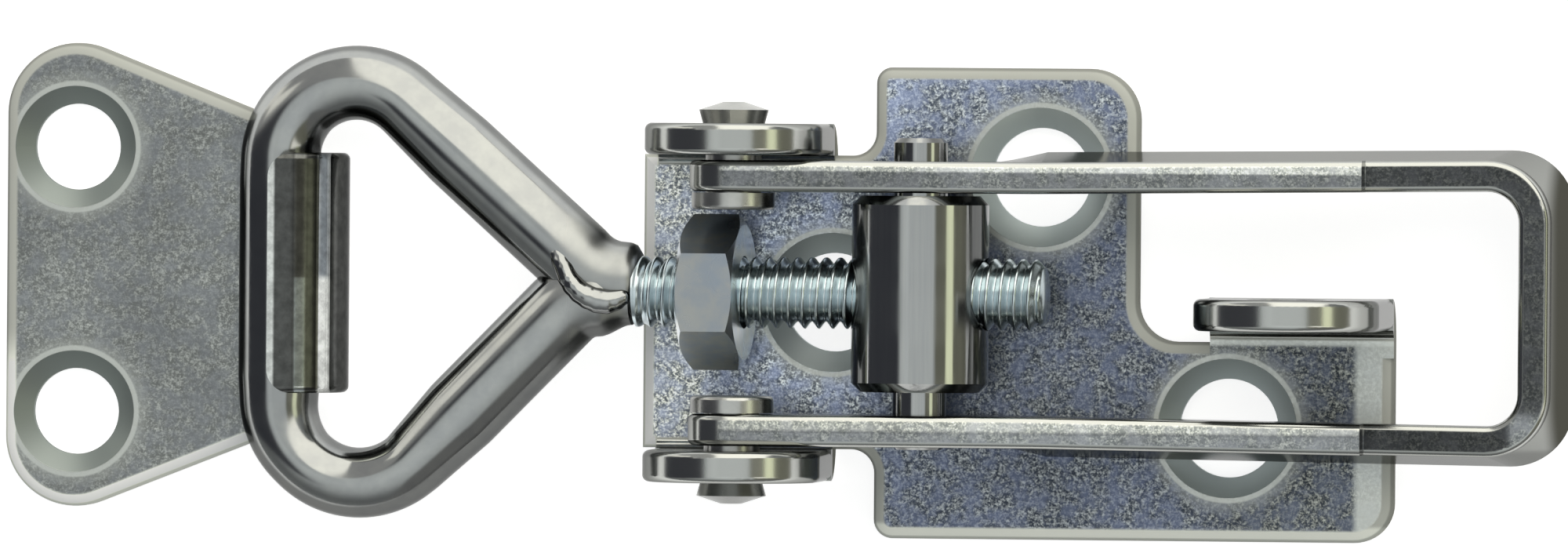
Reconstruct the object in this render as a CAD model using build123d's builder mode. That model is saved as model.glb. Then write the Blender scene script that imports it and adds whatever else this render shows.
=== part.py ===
from build123d import *
from math import atan2, cos, hypot, radians, sin, tan
import os

# Adjustable over centre toggle latch, in millimetres.
# +X runs from the catch towards the grip of the lever, +Y lies across the latch, and +Z points
# away from the surface that the latch is screwed to. The origin is on the mounting face,
# straight below the lever's fixed pivot. The lever is closed and the hook holds the draw bolt.

# ---- stock and fits ------------------------------------------------------------------------
SHEET = 2.8              # sheet steel of the base plate and the lever
CATCH_SHEET = 2.5        # thinner sheet of the catch plate
FOLD_RADIUS = 1.2        # inside radius of the base plate's folds
RIM_ROUND = 1.3          # rounded rim that punching leaves round the upper face of a plate
EDGE_ROUND = 0.6         # rounded edges of the upright sheets
WIRE = 7.3               # wire of the draw bolt's loop
THREAD = 6.35            # outside diameter of the quarter-inch thread
RUNNING = 0.06           # radial clearance of a pin, rod or bar that turns or slides in a hole
SEAT_GAP = 0.1           # clearance beside a face that slides past another

# ---- base plate ----------------------------------------------------------------------------
BASE_LEFT = -9.3         # end of the plate below the neck of the draw bolt
BASE_RIGHT = 58.0        # end of the plate below the padlock lug
BASE_HALF_WIDTH = 21.0
FLANGE_LEFT = 11.5       # where both screw flanges start
UPPER_FLANGE_RIGHT = 35.1
EAR_RADIUS = 7.9
EAR_PLAY = 0.45          # between each ear and the arm inside it
PIVOT_HEIGHT = 13.0      # axis of the fixed pivot above the mounting face
LUG_LEFT = 41.6
LUG_RIGHT = 58.0
LUG_OUTER_FACE = 0.75    # the face of the lug on the +Y side
PADLOCK_HOLE = 7.0
PADLOCK_HEIGHT = 19.3    # hole's axis, so that a shackle passes over the lever's arms
BASE_SCREW_HOLE = 8.8
BASE_SINK = 12.4         # countersink of the base plate's holes at the surface
BASE_SCREWS = {"front": (7.8, 0.0), "upper": (26.3, 11.3), "lower": (43.2, -10.9)}
FLANGE_TIP_RADIUS = 4.5
PLATE_CORNER_RADIUS = 3.5
FLANGE_CORNER_RADIUS = 1.7
FLANGE_HEEL_RADIUS = 1.4
INNER_CORNER_RADIUS = 2.1

# ---- lever ---------------------------------------------------------------------------------
ARM_SPREAD = 0.55        # how much further out each arm stands at the grip
LEVER_END_RADIUS = 3.9   # rounded ends of the arms round the fixed pivot
LEVER_CLOSED_GAP = 0.3   # arms above the base plate when closed
STEP_X = 56.0            # where the arms drop to the height of the grip
STEP_TOP = 15.2
GRIP_TOP = 11.3
GRIP_INNER_FACE = 69.6
GRIP_BEND_RADIUS = 2.8   # inside radius of the grip's two bends
FLARE_START = 22.9
FLARE_END = 27.0
FLARE_KNEE = 8.6         # height at which the lower skirt starts to lean outwards
SIDE_FLARE = 0.9         # lean of the lower edge along both sides
GRIP_FLARE = 1.7         # and across the grip

# ---- fixed pivot ---------------------------------------------------------------------------
RIVET_SHANK = 5.0
RIVET_HEAD = 7.4
RIVET_HEAD_THICKNESS = 1.5
RIVET_HEAD_ROUND = 0.4
RIVET_TAIL_ROOT = 5.5    # the peened end where it leaves the ear
RIVET_TAIL = 6.2         # its widest point
RIVET_TAIL_RIM = 1.2     # from the ear out to the widest point
RIVET_TAIL_FLAT = 1.9    # flat middle of the peened end
RIVET_TAIL_LENGTH = 1.9

# ---- trunnion ------------------------------------------------------------------------------
TRUNNION_X = 16.5
TRUNNION_HEIGHT = 11.0
BARREL = 12.2
BARREL_LENGTH = 17.4
BARREL_PLAY = 1.15       # between each end of the barrel and its arm, when it is central
BARREL_REST_GAP = 0.25   # between the barrel and the upper arm, which it has slid up to
BARREL_CHAMFER = 0.8
JOURNAL = 4.8
JOURNAL_REACH = 1.15     # how far a journal stands out of its arm, when it is central
JOURNAL_CHAMFER = 0.4

# ---- draw bolt and lock nut ----------------------------------------------------------------
BAR_X = -41.5            # bar of the loop, held in the hook
LOOP_LENGTH = 30.2       # from the bar to where the upper leg's axis meets the rod's axis
LOWER_ROOT_BACK = 2.6    # the lower leg's axis meets the rod's axis this much nearer the bar
UPPER_LEG_ANGLE = 41.7
LOWER_LEG_ANGLE = 45.2
UPPER_BEND_RADIUS = 6.95  # radius of the wire's axis at the loop's two corners
LOWER_BEND_RADIUS = 7.35
BEND_IN_HOOK = 0.75      # a corner may start this far inside the hook, whose clearance takes it
ROOT_BEND_RADIUS = 5.8   # the same where the upper leg turns into the rod
BEND_TO_THREAD = 0.19    # straight wire between the root bend and the thread
ROD_OVERHANG = 11.4      # from the trunnion's axis to the rod's end
ROD_CHAMFER = 0.8
NECK_BACK = 5.6          # length of the welded neck
NECK_HALF_HEIGHT = 3.9
WELD_HALF_HEIGHT = 4.9
NECK_HALF_THICKNESS = 3.4
NECK_RISE = 0.6          # the neck sits a little towards the upper leg
NUT_FLATS = 12.0
NUT_THICKNESS = 5.1
NUT_FACE = 15.9          # from the trunnion's axis back to the nut's right face
NUT_CHAMFER_ANGLE = 30

# ---- catch plate ---------------------------------------------------------------------------
CATCH_SHIFT = 1.9        # the catch hangs a little to one side on the bar
LOBE_X = -60.6
LOBE_SPACING = 28.9
LOBE_RADIUS = 6.3
SHOULDER_X = -43.6       # where the plate narrows to the hook
SHOULDER_WIDTH = 29.0
HOOK_WIDTH = 21.4
HOOK_SHIFT = 0.4         # the hook sits a little off the plate's middle line
HOOK_TAIL = 0.3          # straight lip past the top of the bar
HOOK_CORNER_RADIUS = 2.2
CATCH_SCREW_HOLE = 7.7
CATCH_SINK = 10.9
CATCH_SCREW_SPACING = 23.7
CATCH_HOLE_SHIFT = 0.4   # the holes sit a little off the plate's middle line

# ---- worked out from the values above ------------------------------------------------------
arm_inner = BARREL_LENGTH / 2 + BARREL_PLAY
grip_inner = arm_inner + ARM_SPREAD
ear_inner = arm_inner + SHEET + EAR_PLAY
ear_outer = ear_inner + SHEET
ear_fold = ear_inner - FOLD_RADIUS
trunnion_shift = BARREL_PLAY - BARREL_REST_GAP
journal_length = BARREL_PLAY + SHEET + JOURNAL_REACH
nut_corner = NUT_FLATS / 2 / cos(radians(30))
head_seat = arm_inner - SEAT_GAP
head_thickness = min(RIVET_HEAD_THICKNESS, head_seat - trunnion_shift - nut_corner - RUNNING)
lug_fold = LUG_OUTER_FACE - SHEET - FOLD_RADIUS
lug_radius = (LUG_RIGHT - LUG_LEFT) / 2
lug_x = (LUG_RIGHT + LUG_LEFT) / 2
bar_height = CATCH_SHEET + WIRE / 2 + RUNNING
hook_inner = WIRE / 2 + RUNNING
draw_angle = atan2(TRUNNION_HEIGHT - bar_height, TRUNNION_X - BAR_X)
draw_reach = hypot(TRUNNION_HEIGHT - bar_height, TRUNNION_X - BAR_X)
root_bend_run = ROOT_BEND_RADIUS * tan(radians(UPPER_LEG_ANGLE) / 2)
thread_start = draw_reach - LOOP_LENGTH - root_bend_run - BEND_TO_THREAD
hook_middle = CATCH_SHIFT + HOOK_SHIFT
lever_bottom = SHEET + LEVER_CLOSED_GAP
lever_top = PIVOT_HEIGHT + LEVER_END_RADIUS
strap_top = max(lever_top, STEP_TOP)
latch_span = GRIP_INNER_FACE - LOBE_X  # longer than any cut across the latch


def side_plane(y):
    """Plane across Y at the given y, with X to the right and Z up; extruding goes towards -Y."""
    return Plane(origin=(0, y, 0), x_dir=(1, 0, 0), z_dir=(0, -1, 0))


def draw_plane(along):
    """Plane across the draw bolt's rod, a distance along the rod from the trunnion's axis.

    Its X is the latch's Y, and extruding goes along the rod towards the grip.
    """
    rod = (cos(draw_angle), 0, sin(draw_angle))
    centre = (TRUNNION_X + along * rod[0], trunnion_shift, TRUNNION_HEIGHT + along * rod[2])
    return Plane(origin=centre, x_dir=(0, 1, 0), z_dir=rod)


def fold_section(fold):
    """Quarter ring of a fold that turns the flat plate up, with the flat root beside it.

    It is drawn in a plane across X; the root fills the plate's rounded rim below the fold.
    """
    centre = (fold, SHEET + FOLD_RADIUS)
    outer = FOLD_RADIUS + SHEET
    with Locations(centre):
        Circle(outer)
        Circle(FOLD_RADIUS, mode=Mode.SUBTRACT)
        Rectangle(outer, outer, align=(Align.MIN, Align.MAX), mode=Mode.INTERSECT)
    with Locations((fold, 0)):
        Rectangle(RIM_ROUND, SHEET, align=(Align.MAX, Align.MIN))


def upright_outline(x, radius, height):
    """Outline of an ear or lug: straight sides and a half-round top."""
    with Locations((x, SHEET + FOLD_RADIUS)):
        Rectangle(2 * radius, height - SHEET - FOLD_RADIUS, align=(Align.CENTER, Align.MIN))
    with Locations((x, height)):
        Circle(radius)


def corner_bend(radius, leg_angle, room):
    """Radius of a corner of the loop, limited by the room beside the hook that holds the bar."""
    return min(radius, (room + BEND_IN_HOOK) / tan(radians(90 + leg_angle) / 2))


def strap_plan(side_lean, grip_lean):
    """Plan of the lever's strap from the end of the flare's run-in round the grip."""
    for thickness, mode in ((SHEET, Mode.ADD), (0, Mode.SUBTRACT)):
        near = arm_inner + thickness + side_lean
        far = grip_inner + thickness + side_lean
        end = GRIP_INNER_FACE + thickness + grip_lean
        with BuildSketch(mode=Mode.PRIVATE) as plan:
            Polygon(
                (FLARE_END, near),
                (end, far),
                (end, -far),
                (FLARE_END, -near),
                align=None,
            )
            fillet(plan.vertices().group_by(Axis.X)[-1], GRIP_BEND_RADIUS + thickness)
        add(plan.sketch_local, mode=mode)


def skirt_section(side, lean):
    """Section of one arm's lower half, with its lower edge leaning outwards."""
    inner = arm_inner * side
    outer = (arm_inner + SHEET) * side
    Polygon(
        (inner + lean * side, lever_bottom),
        (inner, FLARE_KNEE),
        (outer, FLARE_KNEE),
        (outer + lean * side, lever_bottom),
        align=None,
    )


# ---- upright walls of the base plate, with rounded edges -------------------------------------
with BuildPart() as ear_wall:
    with BuildSketch(side_plane(ear_outer)):
        upright_outline(0, EAR_RADIUS, PIVOT_HEIGHT)
    extrude(amount=SHEET)
    fillet(ear_wall.edges().filter_by(Plane.XZ).group_by(Axis.Z)[1:], EDGE_ROUND)

with BuildPart() as lug_wall:
    with BuildSketch(side_plane(LUG_OUTER_FACE)):
        upright_outline(lug_x, lug_radius, PADLOCK_HEIGHT)
    extrude(amount=SHEET)
    fillet(lug_wall.edges().filter_by(Plane.XZ).group_by(Axis.Z)[1:], EDGE_ROUND)

# ---- base plate: one folded sheet with two ears and a padlock lug ----------------------------
with BuildPart() as base_plate:
    with BuildSketch(Plane.XY) as plate_outline:
        with BuildLine():
            Polyline(
                (BASE_LEFT, -ear_inner),
                (FLANGE_LEFT, -ear_inner),
                (FLANGE_LEFT, -BASE_HALF_WIDTH),
                (BASE_RIGHT, -BASE_HALF_WIDTH),
                (BASE_RIGHT, lug_fold),
                (UPPER_FLANGE_RIGHT, lug_fold),
                (UPPER_FLANGE_RIGHT, BASE_HALF_WIDTH),
                (FLANGE_LEFT, BASE_HALF_WIDTH),
                (FLANGE_LEFT, ear_inner),
                (BASE_LEFT, ear_inner),
                close=True,
            )
        make_face()
        corners = {
            (FLANGE_LEFT, -ear_inner): INNER_CORNER_RADIUS,
            (FLANGE_LEFT, -BASE_HALF_WIDTH): FLANGE_CORNER_RADIUS,
            (BASE_RIGHT, -BASE_HALF_WIDTH): PLATE_CORNER_RADIUS,
            (UPPER_FLANGE_RIGHT, lug_fold): PLATE_CORNER_RADIUS,
            (UPPER_FLANGE_RIGHT, BASE_HALF_WIDTH): FLANGE_TIP_RADIUS,
            (FLANGE_LEFT, BASE_HALF_WIDTH): FLANGE_HEEL_RADIUS,
            (FLANGE_LEFT, ear_inner): INNER_CORNER_RADIUS,
        }
        for place, radius in corners.items():
            corner = plate_outline.vertices().sort_by_distance((*place, 0))[0]
            fillet(corner, radius)
    extrude(amount=SHEET)
    fillet(base_plate.faces().sort_by(Axis.Z)[-1].edges(), RIM_ROUND)
    # the sheet beside the ears is cut back to the fold
    with BuildSketch(Plane.XY):
        Rectangle(2 * EAR_RADIUS, 2 * BASE_HALF_WIDTH)
        Rectangle(2 * EAR_RADIUS, 2 * ear_fold, mode=Mode.SUBTRACT)
    extrude(amount=SHEET, mode=Mode.SUBTRACT)

    # ears: fold and upright wall on the +Y side, mirrored to the other side
    with BuildSketch(Plane.YZ.offset(-EAR_RADIUS)):
        fold_section(ear_fold)
    extrude(amount=2 * EAR_RADIUS)
    with BuildSketch(Plane.YZ.offset(-EAR_RADIUS)) as lower_fold:
        fold_section(ear_fold)
        mirror(about=Plane.YZ, mode=Mode.REPLACE)
    extrude(amount=2 * EAR_RADIUS)
    add(ear_wall.part)
    add(ear_wall.part.mirror(Plane.XZ))

    # padlock lug
    with BuildSketch(Plane.YZ.offset(LUG_LEFT)):
        fold_section(lug_fold)
    extrude(amount=LUG_RIGHT - LUG_LEFT)
    add(lug_wall.part)
    with BuildSketch(side_plane(LUG_OUTER_FACE)):
        with Locations((lug_x, PADLOCK_HEIGHT)):
            Circle(PADLOCK_HOLE / 2)
    extrude(amount=SHEET, mode=Mode.SUBTRACT)

    # pivot holes and countersunk screw holes
    with BuildSketch(Plane.XZ):
        with Locations((0, PIVOT_HEIGHT)):
            Circle(RIVET_SHANK / 2)
    extrude(amount=ear_outer, both=True, mode=Mode.SUBTRACT)
    with Locations([(x, y, SHEET) for x, y in BASE_SCREWS.values()]):
        CounterSinkHole(BASE_SCREW_HOLE / 2, BASE_SINK / 2, depth=SHEET, counter_sink_angle=90)

base_plate.part.label = "base_plate"

# ---- pivot rivets: one through each ear and arm, with a head that clears the lock nut ---------
with BuildPart() as upper_pivot_rivet:
    with BuildSketch(Plane.YZ) as rivet_profile:
        with BuildLine():
            Polyline(
                (head_seat - head_thickness, PIVOT_HEIGHT),
                (head_seat - head_thickness, PIVOT_HEIGHT + RIVET_HEAD / 2),
                (head_seat, PIVOT_HEIGHT + RIVET_HEAD / 2),
                (head_seat, PIVOT_HEIGHT + RIVET_SHANK / 2),
                (ear_outer, PIVOT_HEIGHT + RIVET_SHANK / 2),
                (ear_outer, PIVOT_HEIGHT + RIVET_TAIL_ROOT / 2),
                (ear_outer + RIVET_TAIL_RIM, PIVOT_HEIGHT + RIVET_TAIL / 2),
                (ear_outer + RIVET_TAIL_LENGTH, PIVOT_HEIGHT + RIVET_TAIL_FLAT / 2),
                (ear_outer + RIVET_TAIL_LENGTH, PIVOT_HEIGHT),
                close=True,
            )
        make_face()
    revolve(axis=Axis((0, 0, PIVOT_HEIGHT), (0, 1, 0)))
    head_rim = upper_pivot_rivet.edges().filter_by(GeomType.CIRCLE).sort_by(Axis.Y)[0]
    fillet(head_rim, min(RIVET_HEAD_ROUND, head_thickness / 2))
upper_pivot_rivet.part.label = "upper_pivot_rivet"

with BuildPart() as lower_pivot_rivet:
    add(upper_pivot_rivet.part)
    mirror(about=Plane.XZ, mode=Mode.REPLACE)
lower_pivot_rivet.part.label = "lower_pivot_rivet"

# ---- lever: one strap bent into a U, standing on edge ----------------------------------------
with BuildPart() as lever:
    # upper half of the strap, straight up all the way round
    with BuildSketch(Plane.XY.offset(FLARE_KNEE)):
        strap_plan(0, 0)
        for side in (1, -1):
            with Locations((-LEVER_END_RADIUS, side * (arm_inner + SHEET / 2))):
                Rectangle(
                    FLARE_END + LEVER_END_RADIUS, SHEET, align=(Align.MIN, Align.CENTER)
                )
    extrude(amount=strap_top - FLARE_KNEE)
    # lower half of the arms near the pivot, straight down
    with BuildSketch(Plane.XY.offset(FLARE_KNEE)):
        for side in (1, -1):
            with Locations((-LEVER_END_RADIUS, side * (arm_inner + SHEET / 2))):
                Rectangle(
                    FLARE_START + LEVER_END_RADIUS, SHEET, align=(Align.MIN, Align.CENTER)
                )
    extrude(amount=lever_bottom - FLARE_KNEE)
    # run-in of the flare, then the flared skirt round the grip
    for side in (1, -1):
        with BuildSketch(Plane.YZ.offset(FLARE_START)):
            skirt_section(side, 0)
        with BuildSketch(Plane.YZ.offset(FLARE_END)):
            skirt_section(side, SIDE_FLARE)
        loft(ruled=True)
    with BuildSketch(Plane.XY.offset(lever_bottom)):
        strap_plan(SIDE_FLARE, GRIP_FLARE)
    with BuildSketch(Plane.XY.offset(FLARE_KNEE)):
        strap_plan(0, 0)
    loft(ruled=True)
    # side outline: rounded pivot end, sloping edges, and the step down to the grip
    with BuildSketch(Plane.XZ) as lever_outline:
        with Locations((0, PIVOT_HEIGHT)):
            Circle(LEVER_END_RADIUS)
        with Locations((FLARE_END, lever_bottom)):
            Rectangle(STEP_X - FLARE_END, STEP_TOP - lever_bottom, align=(Align.MIN, Align.MIN))
        make_hull()
        with Locations((STEP_X, lever_bottom)):
            Rectangle(latch_span, GRIP_TOP - lever_bottom, align=(Align.MIN, Align.MIN))
    extrude(amount=latch_span, both=True, mode=Mode.INTERSECT)
    # rounded upper edges
    grip_face = lever.faces().filter_by(Plane.XY).group_by(Axis.Z)[-1]
    fillet(grip_face.edges().filter_by(lambda edge: edge.length > 1.2 * SHEET), EDGE_ROUND)
    arm_edges = lever.edges().filter_by(GeomType.LINE)
    arm_edges = arm_edges.filter_by_position(Axis.Z, PIVOT_HEIGHT, strap_top)
    fillet(arm_edges.filter_by(lambda edge: edge.length > FLARE_START), EDGE_ROUND)
    # pivot and trunnion holes through both arms
    with BuildSketch(Plane.XZ):
        with Locations((0, PIVOT_HEIGHT)):
            Circle(RIVET_SHANK / 2 + RUNNING)
        with Locations((TRUNNION_X, TRUNNION_HEIGHT)):
            Circle(JOURNAL / 2 + RUNNING)
    extrude(amount=latch_span, both=True, mode=Mode.SUBTRACT)
lever.part.label = "lever"

# ---- trunnion: a turned barrel with a journal at each end, cross-bored for the rod ------------
with BuildPart() as trunnion:
    trunnion_centre = (TRUNNION_X, trunnion_shift, TRUNNION_HEIGHT)
    with BuildSketch(Plane(origin=trunnion_centre, x_dir=(1, 0, 0), z_dir=(0, -1, 0))):
        Circle(BARREL / 2)
    extrude(amount=BARREL_LENGTH / 2, both=True)
    chamfer(trunnion.edges().filter_by(GeomType.CIRCLE), BARREL_CHAMFER)
    with BuildSketch(Plane(origin=trunnion_centre, x_dir=(1, 0, 0), z_dir=(0, -1, 0))):
        Circle(JOURNAL / 2)
    extrude(amount=BARREL_LENGTH / 2 + journal_length, both=True)
    journal_ends = trunnion.edges().filter_by(GeomType.CIRCLE).group_by(Axis.Y)
    chamfer(journal_ends[0] + journal_ends[-1], JOURNAL_CHAMFER)
    with BuildSketch(draw_plane(-BARREL)):
        Circle(THREAD / 2 + RUNNING)
    extrude(amount=2 * BARREL, mode=Mode.SUBTRACT)
trunnion.part.label = "trunnion"

# ---- draw bolt: one wire bent to a loop, welded to itself, with a threaded rod ----------------
rod_axis = draw_plane(0)
loop_plane = Plane(
    origin=rod_axis.origin, x_dir=rod_axis.z_dir, z_dir=(-sin(draw_angle), 0, cos(draw_angle))
)
upper_root = -draw_reach + LOOP_LENGTH
lower_root = upper_root - LOWER_ROOT_BACK
upper_corner = LOOP_LENGTH * tan(radians(UPPER_LEG_ANGLE))
lower_corner = (LOOP_LENGTH - LOWER_ROOT_BACK) * tan(radians(LOWER_LEG_ANGLE))
leg_middle = (upper_root - LOOP_LENGTH / 2, upper_corner / 2)
upper_room = trunnion_shift + upper_corner - hook_middle - HOOK_WIDTH / 2
lower_room = lower_corner - trunnion_shift + hook_middle - HOOK_WIDTH / 2
upper_bend = corner_bend(UPPER_BEND_RADIUS, UPPER_LEG_ANGLE, upper_room)
lower_bend = corner_bend(LOWER_BEND_RADIUS, LOWER_LEG_ANGLE, lower_room)
with BuildPart() as draw_bolt:
    with BuildLine(loop_plane) as loop_path:
        FilletPolyline(
            (lower_root, 0),
            (-draw_reach, -lower_corner),
            (-draw_reach, upper_corner),
            leg_middle,
            radius=(lower_bend, upper_bend),
        )
    with BuildLine(loop_plane) as root_path:
        FilletPolyline(
            leg_middle,
            (upper_root, 0),
            (-thread_start, 0),
            radius=ROOT_BEND_RADIUS,
        )
    for wire_axis in (loop_path.wires()[0], root_path.wires()[0]):
        with BuildSketch(Plane(origin=wire_axis @ 0, z_dir=wire_axis % 0)):
            Circle(WIRE / 2)
        sweep(path=wire_axis)
    # welded neck: the lower leg's end runs into the bend of the upper leg
    with BuildSketch(draw_plane(-thread_start - NECK_BACK)):
        with Locations((NECK_RISE, 0)):
            Ellipse(WELD_HALF_HEIGHT, NECK_HALF_THICKNESS)
    with BuildSketch(draw_plane(-thread_start)):
        with Locations((NECK_RISE, 0)):
            Ellipse(NECK_HALF_HEIGHT, NECK_HALF_THICKNESS)
    loft()
    with BuildSketch(draw_plane(-thread_start)):
        Circle(THREAD / 2)
    extrude(amount=thread_start + ROD_OVERHANG)
    rod_tip = draw_bolt.edges().filter_by(GeomType.CIRCLE).sort_by(Axis.X)[-1]
    chamfer(rod_tip, ROD_CHAMFER)
draw_bolt.part.label = "draw_bolt"

# ---- lock nut ------------------------------------------------------------------------------
nut_right = -NUT_FACE
nut_left = nut_right - NUT_THICKNESS
corner_drop = (nut_corner - NUT_FLATS / 2) * tan(radians(NUT_CHAMFER_ANGLE))
with BuildPart() as lock_nut:
    with BuildSketch(draw_plane(nut_left)):
        RegularPolygon(NUT_FLATS / 2, 6, major_radius=False)
        Circle(THREAD / 2 + RUNNING, mode=Mode.SUBTRACT)
    extrude(amount=NUT_THICKNESS)
    # a cone at each end takes off the corners
    with BuildSketch(loop_plane):
        Polygon(
            (nut_left, 0),
            (nut_left, NUT_FLATS / 2),
            (nut_left + corner_drop, nut_corner),
            (nut_right - corner_drop, nut_corner),
            (nut_right, NUT_FLATS / 2),
            (nut_right, 0),
            align=None,
        )
    revolve(axis=Axis(rod_axis.origin, rod_axis.z_dir), mode=Mode.INTERSECT)
lock_nut.part.label = "lock_nut"

# ---- catch plate: one sheet whose tab is curled over the bar ---------------------------------
with BuildPart() as catch_plate:
    with BuildSketch(Plane.XY) as catch_outline:
        with Locations((LOBE_X, CATCH_SHIFT)):
            with GridLocations(0, LOBE_SPACING, 1, 2):
                Circle(LOBE_RADIUS)
        with Locations((SHOULDER_X, CATCH_SHIFT)):
            Rectangle(CATCH_SHEET, SHOULDER_WIDTH, align=(Align.MAX, Align.CENTER))
        make_hull()
    extrude(amount=CATCH_SHEET)
    fillet(catch_plate.faces().sort_by(Axis.Z)[-1].edges(), RIM_ROUND)
    # the neck of the tab starts inside the plate, past the rounded rim
    with BuildSketch(Plane.XY):
        with Locations((BAR_X, hook_middle)):
            Rectangle(BAR_X - SHOULDER_X + RIM_ROUND, HOOK_WIDTH, align=(Align.MAX, Align.CENTER))
    extrude(amount=CATCH_SHEET)
    with BuildSketch(side_plane(hook_middle + HOOK_WIDTH / 2)):
        with Locations((BAR_X, bar_height)):
            Circle(hook_inner + CATCH_SHEET)
            Circle(hook_inner, mode=Mode.SUBTRACT)
            Rectangle(
                hook_inner + CATCH_SHEET,
                2 * (hook_inner + CATCH_SHEET),
                align=(Align.MIN, Align.CENTER),
                mode=Mode.INTERSECT,
            )
        with Locations((BAR_X, bar_height + hook_inner)):
            Rectangle(HOOK_TAIL, CATCH_SHEET, align=(Align.MAX, Align.MIN))
    extrude(amount=HOOK_WIDTH)
    hook_rims = catch_plate.edges().filter_by(GeomType.CIRCLE)
    hook_rims = hook_rims.filter_by_position(Axis.X, SHOULDER_X, latch_span)
    fillet(hook_rims.filter_by(lambda rim: rim.radius > hook_inner + CATCH_SHEET / 2), EDGE_ROUND)
    # rounded corners of the curled end
    with BuildSketch(Plane.XY.offset(bar_height + 0.5 * hook_inner)):
        for side in (1, -1):
            with Locations((BAR_X - HOOK_TAIL, hook_middle + side * HOOK_WIDTH / 2)):
                Rectangle(
                    HOOK_CORNER_RADIUS,
                    HOOK_CORNER_RADIUS,
                    align=(Align.MIN, Align.MAX if side > 0 else Align.MIN),
                )
        for side in (1, -1):
            inner = side * (HOOK_WIDTH / 2 - HOOK_CORNER_RADIUS)
            with Locations((BAR_X - HOOK_TAIL + HOOK_CORNER_RADIUS, hook_middle + inner)):
                Circle(HOOK_CORNER_RADIUS, mode=Mode.SUBTRACT)
    extrude(amount=latch_span, mode=Mode.SUBTRACT)
    with Locations((LOBE_X, CATCH_SHIFT - CATCH_HOLE_SHIFT, CATCH_SHEET)):
        with GridLocations(0, CATCH_SCREW_SPACING, 1, 2):
            CounterSinkHole(
                CATCH_SCREW_HOLE / 2, CATCH_SINK / 2, depth=CATCH_SHEET, counter_sink_angle=90
            )
catch_plate.part.label = "catch_plate"

# ---- one STEP file for each piece ------------------------------------------------------------
os.makedirs("parts", exist_ok=True)
pieces = (
    base_plate,
    upper_pivot_rivet,
    lower_pivot_rivet,
    lever,
    trunnion,
    draw_bolt,
    lock_nut,
    catch_plate,
)
for piece in pieces:
    export_step(piece.part, f"parts/{piece.part.label}.step")
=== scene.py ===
import logging
import math
from collections.abc import Sequence
from dataclasses import dataclass
from enum import Enum

import bmesh
import bpy
from mathutils import Matrix, Vector


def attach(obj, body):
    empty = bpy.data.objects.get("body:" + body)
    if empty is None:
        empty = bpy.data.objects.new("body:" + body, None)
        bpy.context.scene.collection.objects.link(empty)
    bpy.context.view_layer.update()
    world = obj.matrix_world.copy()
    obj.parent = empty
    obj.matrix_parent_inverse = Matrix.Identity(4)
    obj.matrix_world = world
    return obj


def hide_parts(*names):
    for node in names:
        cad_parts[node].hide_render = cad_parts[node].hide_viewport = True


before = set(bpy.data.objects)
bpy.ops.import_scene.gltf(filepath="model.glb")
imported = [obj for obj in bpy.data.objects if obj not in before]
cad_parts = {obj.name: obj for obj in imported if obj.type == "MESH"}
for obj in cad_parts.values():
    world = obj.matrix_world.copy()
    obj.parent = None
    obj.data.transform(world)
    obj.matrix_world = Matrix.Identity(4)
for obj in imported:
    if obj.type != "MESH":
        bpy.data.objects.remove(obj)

LOG = logging.getLogger("toggle_latch")
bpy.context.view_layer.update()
MM = 0.001  # a millimetre in metres
FAR = 500.0  # millimetres, beyond every piece
HALF_TURN = 180.0  # degrees
Pair = tuple[float, float]
Triple = tuple[float, float, float]
Colour = Triple
Material = bpy.types.Material
Mesh = bpy.types.Mesh
Node = bpy.types.Node
NodeTree = bpy.types.NodeTree
Socket = bpy.types.NodeSocket
Feed = Socket | bpy.types.ID | float | str | tuple[float, ...]
Inputs = dict[str, Feed] | tuple[Feed, ...]


# ---- node trees ----


@dataclass(frozen=True)
class Grain:
    """A noise pattern: its cells a metre, octaves and roughness, and the ramp it is put through."""

    scale: float
    detail: float = 2.0
    roughness: float = 0.5
    low: float = 0.3
    high: float = 0.7
    start: float = 0.0
    end: float = 1.0


class NodeSheet:
    """A node tree that is written from left to right with short calls."""

    tree: NodeTree

    def join(self, source: Feed, target: Socket) -> None:
        """Feeds a socket from another socket or sets its constant value.

        Args:
            source: The other socket or the value.
            target: The socket that takes it.
        """
        if isinstance(source, Socket):
            self.tree.links.new(source, target)
        else:
            target.default_value = source

    def node(self, kind: str, inputs: Inputs = (), **settings: str) -> Node:
        """Adds a node, sets its properties and feeds its inputs.

        Args:
            kind: Blender's name of the node type.
            inputs: What goes into its inputs, in order or by name.
            **settings: Properties of the node, such as operation.

        Returns:
            The new node.
        """
        made = self.tree.nodes.new(kind)
        for name, value in settings.items():
            setattr(made, name, value)
        for key, source in inputs.items() if isinstance(inputs, dict) else enumerate(inputs):
            self.join(source, made.inputs[key])
        return made

    def math(self, operation: str, first: Feed, second: Feed = 0.0) -> Socket:
        """Adds a Math node and returns its result."""
        return self.node("ShaderNodeMath", (first, second), operation=operation).outputs[0]

    def split(self, vector: Feed) -> tuple[Socket, ...]:
        """Takes a vector apart into its three parts."""
        return tuple(self.node("ShaderNodeSeparateXYZ", (vector,)).outputs)

    def gather(self, *parts: Feed) -> Socket:
        """Puts up to three numbers together into a vector."""
        return self.node("ShaderNodeCombineXYZ", parts).outputs[0]


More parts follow.
